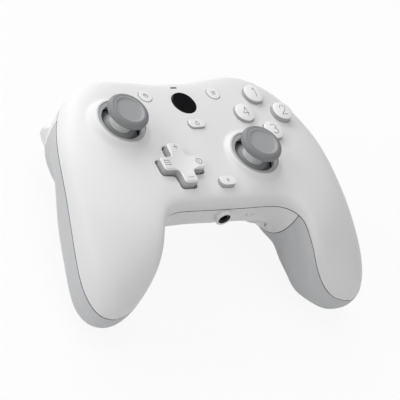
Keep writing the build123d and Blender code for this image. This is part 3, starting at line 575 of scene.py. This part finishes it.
SEND = Sign((((-0.42, 0.05), (-0.42, -0.42), (0.42, -0.42), (0.42, 0.05)), ((0.0, -0.12), (0.0, 0.50)),
             ((-0.22, 0.28), (0.0, 0.50), (0.22, 0.28))))
PAIR = Sign((((-0.16, -0.40), (-0.16, 0.40)), ((0.16, -0.40), (0.16, 0.40))))


@dataclass(frozen=True)
class Pen:
    """Draws signs on a piece as thin lines sunk in its surface, sizes in metres."""

    radius: float = 0.00021
    sink: float = 0.00012
    step: float = 0.00035
    above: float = 1.0
    merge_distance: float = 1e-6
    crease: float = 60.0

    def points(self, stroke: Sequence[tuple[float, float]], centre: Vector, height: float,
               top: BVHTree) -> list[Vector]:
        """Lays one stroke on a surface in short steps.

        Args:
            stroke: corners of the stroke in the sign's units.
            centre: middle of the sign.
            height: height of the sign in metres.
            top: the surface as a tree of faces.

        Returns:
            Points of the line, sunk in the surface.
        """
        flat = [Vector((centre.x + x * height, centre.y + y * height, self.above)) for x, y in stroke]
        laid = [flat[0]]
        for start, end in zip(flat, flat[1:]):
            count = max(1, math.ceil((end - start).length / self.step))
            laid += [start.lerp(end, place / count) for place in range(1, count + 1)]
        lowered = []
        for point in laid:
            hit = top.ray_cast(point, Vector((0, 0, -1)))[0]
            lowered.append(Vector((hit.x, hit.y, hit.z - self.sink)))
        return lowered

    def draw(self, sign: Sign, name: str, carrier: bpy.types.Object, centre: Vector,
             height: float) -> bpy.types.Object:
        """Draws one sign on a piece.

        Args:
            sign: the sign.
            name: name of the new piece.
            carrier: the piece that it is drawn on.
            centre: middle of the sign.
            height: height of the sign in metres.

        Returns:
            The lines as one mesh.
        """
        mesh = carrier.data
        top = BVHTree.FromPolygons([vertex.co for vertex in mesh.vertices],
                                   [polygon.vertices for polygon in mesh.polygons])
        lines = []
        for stroke in sign.strokes:
            points = self.points(stroke, centre, height, top)
            deselect()
            bpy.ops.mesh.primitive_plane_add(size=self.radius, location=points[0])
            line = bpy.context.object
            bpy.ops.object.mode_set(mode="EDIT")
            bpy.ops.mesh.select_all(action="SELECT")
            bpy.ops.mesh.merge(type="CENTER")
            for start, end in zip(points, points[1:]):
                bpy.ops.mesh.extrude_vertices_move(TRANSFORM_OT_translate={"value": end - start})
            bpy.ops.mesh.select_all(action="SELECT")
            bpy.ops.mesh.remove_doubles(threshold=self.merge_distance)
            bpy.ops.object.mode_set(mode="OBJECT")
            bpy.ops.object.convert(target="CURVE")
            line.data.bevel_depth = self.radius
            line.data.bevel_resolution = 1
            line.data.use_fill_caps = True
            bpy.ops.object.convert(target="MESH")
            lines.append(bpy.context.object)
        pick(lines[0])
        for line in lines[1:]:
            line.select_set(True)
        if len(lines) > 1:
            bpy.ops.object.join()
        piece = bpy.context.object
        piece.name = name
        piece.data.name = name
        settle(piece)
        smooth(piece, self.crease)
        return piece


@dataclass
class Thumbstick(Part):
    """One thumbstick: cap, stem, the ring round its socket and what carries it.

    The dish is a share of the cap's radius. The collar's sizes are in metres, collar_taper is its
    width at the top as a share of that at its foot, and collar_drop is how far it starts below the
    cap's top. A point belongs to a ring where it lies within ring_reach of the ring's height.
    """

    side: Side = Side.LEFT
    dish_share: float = 0.66
    dish_slope: float = 0.5
    cap_crease: float = 50.0
    stem_crease: float = 40.0
    collar_radius: float = 0.0053
    collar_taper: float = 0.86
    collar_rise: float = 0.0082
    collar_drop: float = 0.0027
    collar_sides: int = 64
    collar_levels: int = 2
    ring_reach: float = 0.0002

    def widen_ring(self, piece: bpy.types.Object, middle: tuple[float, float, float], wide: float) -> None:
        """Sets the width of one level ring of a piece.

        Args:
            piece: the piece, whose rings lie level.
            middle: middle of the ring.
            wide: the new width as a share of the present one.
        """
        edit_all(piece, lambda: bpy.ops.mesh.select_all(action="DESELECT"))
        for vertex in piece.data.vertices:
            vertex.select = abs(vertex.co.z - middle[2]) < self.ring_reach
        bpy.ops.object.mode_set(mode="EDIT")
        bpy.ops.transform.resize(value=(wide, wide, 1.0), center_override=middle)
        bpy.ops.object.mode_set(mode="OBJECT")

    def collar(self, cap_top: float, centre: Vector) -> None:
        """Fills the space between the dome and the cap with a tapering collar.

        Args:
            cap_top: height of the cap's top.
            centre: middle of the cap's box.
        """
        deselect()
        top = cap_top - self.collar_drop
        bpy.ops.mesh.primitive_cylinder_add(
            vertices=self.collar_sides, radius=self.collar_radius, depth=self.collar_rise,
            location=(centre.x, centre.y, top - self.collar_rise / 2))
        piece = bpy.context.object
        piece.name = f"{self.side.value}_stick_collar"
        settle(piece)
        modifier = piece.modifiers.new("rings", "SUBSURF")
        modifier.subdivision_type = "SIMPLE"
        modifier.levels = self.collar_levels
        bpy.ops.object.modifier_apply(modifier=modifier.name)
        rings = 2 ** self.collar_levels
        for ring in range(rings + 1):
            share = ring / rings
            wide = self.collar_taper + (1 - self.collar_taper) * share ** 2
            self.widen_ring(piece, (centre.x, centre.y, top - share * self.collar_rise), wide)
        smooth(piece, self.cap_crease)
        # Painted light: the collar takes the brightened neck colour.
        STICK_NECK_PAINTED_LIGHT.dress(piece, f"{self.side.value}_stick")
        self.made.append(piece)

    def build(self) -> None:
        """Makes the pieces of the stick."""
        name = self.side.value
        # Painted shade: the whole cap starts in the darker side grey.
        cap = self.mould(f"{name}_stick_cap", CAP_SIDE_PAINTED_SHADE, f"{name}_stick", self.cap_crease)
        low, high, centre = box_of(f"{name}_stick_cap")
        reach = self.dish_share * (high.x - low.x) / 2
        # Only the upward-facing dish faces take the lighter grey; the cap's other faces keep the painted
        # shade.
        self.tint(cap, STICK_GREY, lambda polygon: polygon.normal.z > self.dish_slope
                  and (polygon.center - centre).xy.length < reach)
        self.collar(high.z, centre)
        # Painted light: the stem takes the brightened neck colour.
        self.mould(f"{name}_stick_stem", STICK_NECK_PAINTED_LIGHT, f"{name}_stick", self.stem_crease)
        self.mould(f"{name}_stick_socket_ring", RING_GREY, "body", self.stem_crease)
        self.coat(f"{name}_stick_tilt_ring", INNER_GREY)
        self.coat(f"{name}_stick_carrier", INNER_GREY)
        self.coat(f"{name}_stick_housing", INNER_GREY)


@dataclass
class DirectionPad(Part):
    """The cross-shaped pad and the pieces that let it rock."""

    sign_reach: float = 0.0084
    sign_height: float = 0.0030

    def build(self) -> None:
        """Makes the pieces of the pad."""
        pad = self.mould("dpad", PAD_WHITE, "dpad")
        # Painted shade: the pad's upright sides get the darker shade grey.
        self.tint(pad, BUTTON_SIDE_PAINTED_SHADE, self.upright)
        centre = box_of("dpad")[2]
        for name, sign, (x, y) in (("plus", PLUS, (0, 1)), ("minus", MINUS, (0, -1)),
                                   ("boxed", BOXED, (-1, 0)), ("ringed", RINGED, (1, 0))):
            place = centre + Vector((x, y, 0)) * self.sign_reach
            self.mark(sign, f"dpad_{name}_sign", pad, place, self.sign_height, "dpad")
        self.coat("dpad_tilt_ring", INNER_GREY)
        self.coat("dpad_yoke", INNER_GREY)
        self.coat("dpad_pad", PAD_SILICONE)


@dataclass
class Buttons(Part):
    """The round and long buttons of the face."""

    number_height: float = 0.0050
    sign_height: float = 0.0021

    def build(self) -> None:
        """Makes the buttons, the home dome and the lamp window."""
        numbers = {"upper_face_button": ONE, "right_face_button": TWO, "lower_face_button": THREE,
                   "left_face_button": FOUR}
        signs = {"view_button": PANES, "menu_button": BARS, "share_button": SEND, "mode_button": PAIR}
        for name, sign in (*numbers.items(), *signs.items()):
            button = self.mould(name, BUTTON_WHITE, name)
            # Painted shade: the button's upright sides get the darker shade grey.
            self.tint(button, BUTTON_SIDE_PAINTED_SHADE, self.upright)
            height = self.number_height if name in numbers else self.sign_height
            self.mark(sign, f"{name}_sign", button, box_of(name)[2], height, name)
        self.mould("home_button", HOME_BLACK, "home_button")
        self.mould("status_light", LAMP_SMOKE, "body")
        self.coat("face_button_pad", PAD_SILICONE)
        self.coat("centre_button_pads", PAD_SILICONE)


@dataclass
class Shoulder(Part):
    """The bumper, trigger, back button and rumble motor of one side."""

    side: Side = Side.LEFT

    def build(self) -> None:
        """Makes the pieces of the shoulder."""
        name = self.side.value
        self.mould(f"{name}_bumper", SHELL_WHITE, f"{name}_bumper")
        self.mould(f"{name}_trigger", SHELL_WHITE, f"{name}_trigger")
        self.mould(f"{name}_back_button", SHELL_WHITE, f"{name}_back_button")
        self.coat(f"{name}_bumper_pin", PLATED_STEEL)
        self.coat(f"{name}_trigger_pin", PLATED_STEEL)
        self.coat(f"{name}_trigger_bracket", INNER_GREY)
        self.coat(f"{name}_rumble_motor", PLATED_STEEL)
        self.coat(f"{name}_rumble_weight", PLATED_STEEL)


@dataclass
class Electronics(Part):
    """Boards, spacers and the two sockets."""

    def build(self) -> None:
        """Dresses the boards and makes the sockets."""
        self.coat("upper_board", BOARD_GREEN)
        self.coat("main_board", BOARD_GREEN)
        self.coat("board_spacers", TURNED_BRASS)
        self.mould("headset_jack", SOCKET_BLACK, "body")
        self.mould("usb_socket", PLATED_STEEL, "body")


@dataclass(frozen=True)
class Lamp:
    """One soft square lamp: where it hangs and its side in metres, and its power in watts."""

    name: str
    place: tuple[float, float, float]
    size: float
    power: float

    def hang(self, target: Vector) -> None:
        """Hangs the lamp so that it faces a point."""
        deselect()
        bpy.ops.object.light_add(type="AREA", location=self.place)
        lamp = bpy.context.object
        lamp.name = self.name
        lamp.data.size = self.size
        lamp.data.energy = self.power
        lamp.rotation_mode = "QUATERNION"
        lamp.rotation_quaternion = (target - Vector(self.place)).to_track_quat("-Z", "Y")


@dataclass
class Studio:
    """Floor, soft lamps and the camera.

    The camera stands at eye, and right, up and back are its axes. The room's light goes from
    front_level to back_level over room_turn to either side of the middle.
    """

    eye: tuple[float, float, float] = (-1.04840, -0.83824, 1.13037)
    right: tuple[float, float, float] = (0.79517969, -0.4128216, 0.44414816)
    up: tuple[float, float, float] = (0.04836725, 0.77331357, 0.63217619)
    back: tuple[float, float, float] = (-0.60444179, -0.48121144, 0.63489028)
    lens: float = 360.0
    sensor: float = 36.0
    near: float = 0.1
    far: float = 20.0
    floor_size: float = 6.0
    floor_height: float = -0.0002
    floor_tone: float = 0.85
    front_level: float = 0.58
    back_level: float = 0.05
    room_turn: float = 0.7
    shadow_share: float = 0.10
    aim_height: float = 0.03
    lamps: tuple[Lamp, ...] = (
        Lamp("back_lamp", (-0.1, 1.6, 0.95), size=1.4, power=22.0),
        Lamp("back_left_lamp", (-1.3, 0.9, 0.9), size=0.35, power=5.5),
        Lamp("left_lamp", (-1.5, 0.15, 0.75), size=0.30, power=3.5),
        Lamp("top_lamp", (-0.1, 0.4, 2.0), size=1.2, power=9.8))

    def camera(self) -> None:
        """Puts the camera at the photograph's viewpoint."""
        bpy.ops.object.camera_add(location=self.eye)
        camera = bpy.context.object
        camera.name = "viewpoint"
        axes = Matrix((self.right, self.up, self.back)).transposed().to_4x4()
        camera.matrix_world = Matrix.Translation(self.eye) @ axes
        camera.data.lens = self.lens
        camera.data.sensor_width = self.sensor
        camera.data.clip_start = self.near
        camera.data.clip_end = self.far
        bpy.context.scene.camera = camera

    def floor(self) -> None:
        """Lays a plain white floor that keeps a faint shadow."""
        deselect()
        bpy.ops.mesh.primitive_plane_add(size=self.floor_size, location=(0, 0, self.floor_height))
        floor = bpy.context.object
        floor.name = "floor"
        material = bpy.data.materials.new("floor_white")
        material.use_nodes = True
        tree = material.node_tree
        tree.nodes.clear()
        bench = NodeBench(tree)
        diffuse = bench.add("ShaderNodeBsdfDiffuse")
        bench.fill(diffuse, Color=(*[self.floor_tone] * 3, 1))
        glow = bench.add("ShaderNodeEmission")
        bench.fill(glow, Color=WHITE)
        path = bench.add("ShaderNodeLightPath")
        seen = bench.math("MAXIMUM", path.outputs["Is Camera Ray"], path.outputs["Is Glossy Ray"])
        seen = bench.math("MAXIMUM", seen, path.outputs["Is Transmission Ray"])
        mix = bench.add("ShaderNodeMixShader")
        bench.fill(mix, Fac=bench.math("MULTIPLY", seen, 1.0 - self.shadow_share))
        bench.feed(diffuse.outputs["BSDF"], mix.inputs[1])
        bench.feed(glow.outputs["Emission"], mix.inputs[2])
        bench.fill(bench.add("ShaderNodeOutputMaterial"), Surface=mix.outputs["Shader"])
        floor.data.materials.append(material)

    def world(self) -> None:
        """Surrounds the scene with pale light, stronger from the front, that the camera sees as white."""
        world = bpy.data.worlds.new("studio_room")
        world.use_nodes = True
        bpy.context.scene.world = world
        tree = world.node_tree
        tree.nodes.clear()
        bench = NodeBench(tree)
        way = bench.add("ShaderNodeTexCoord")
        parts = bench.add("ShaderNodeSeparateXYZ")
        bench.fill(parts, Vector=way.outputs["Generated"])
        fall = bench.add("ShaderNodeMapRange", interpolation_type="SMOOTHSTEP")
        bench.fill(fall, From_Min=-self.room_turn, From_Max=self.room_turn, To_Min=self.front_level,
                   To_Max=self.back_level, Value=parts.outputs["Y"])
        room = bench.add("ShaderNodeBackground")
        bench.fill(room, Color=WHITE, Strength=fall.outputs["Result"])
        white = bench.add("ShaderNodeBackground")
        bench.fill(white, Color=WHITE)
        path = bench.add("ShaderNodeLightPath")
        mix = bench.add("ShaderNodeMixShader")
        bench.fill(mix, Fac=path.outputs["Is Camera Ray"])
        bench.feed(room.outputs["Background"], mix.inputs[1])
        bench.feed(white.outputs["Background"], mix.inputs[2])
        bench.fill(bench.add("ShaderNodeOutputWorld"), Surface=mix.outputs["Shader"])

    def build(self) -> None:
        """Makes the floor, the lamps, the room and the camera."""
        self.camera()
        self.floor()
        self.world()
        for lamp in self.lamps:
            lamp.hang(Vector((0, 0, self.aim_height)))
        bpy.context.scene.view_settings.view_transform = "Standard"


def main() -> None:
    """Builds every sub-assembly in order and reports its pieces."""
    logging.basicConfig(level=logging.INFO, format="%(name)s: %(message)s")
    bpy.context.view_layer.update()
    Studio().build()
    housing = Housing()
    parts: Sequence[Part] = (
        housing, Thumbstick(Side.LEFT), Thumbstick(Side.RIGHT), DirectionPad(), Buttons(),
        Shoulder(Side.LEFT), Shoulder(Side.RIGHT), Electronics())
    for part in parts:
        part.build()
        for piece in part.made:
            LOG.info("%s: %s, %d faces", type(part).__name__, piece.name, len(piece.data.polygons))
    housing.shade_gaps([piece for part in parts for piece in part.made])
    deselect()


if __name__ == "__main__":
    main()
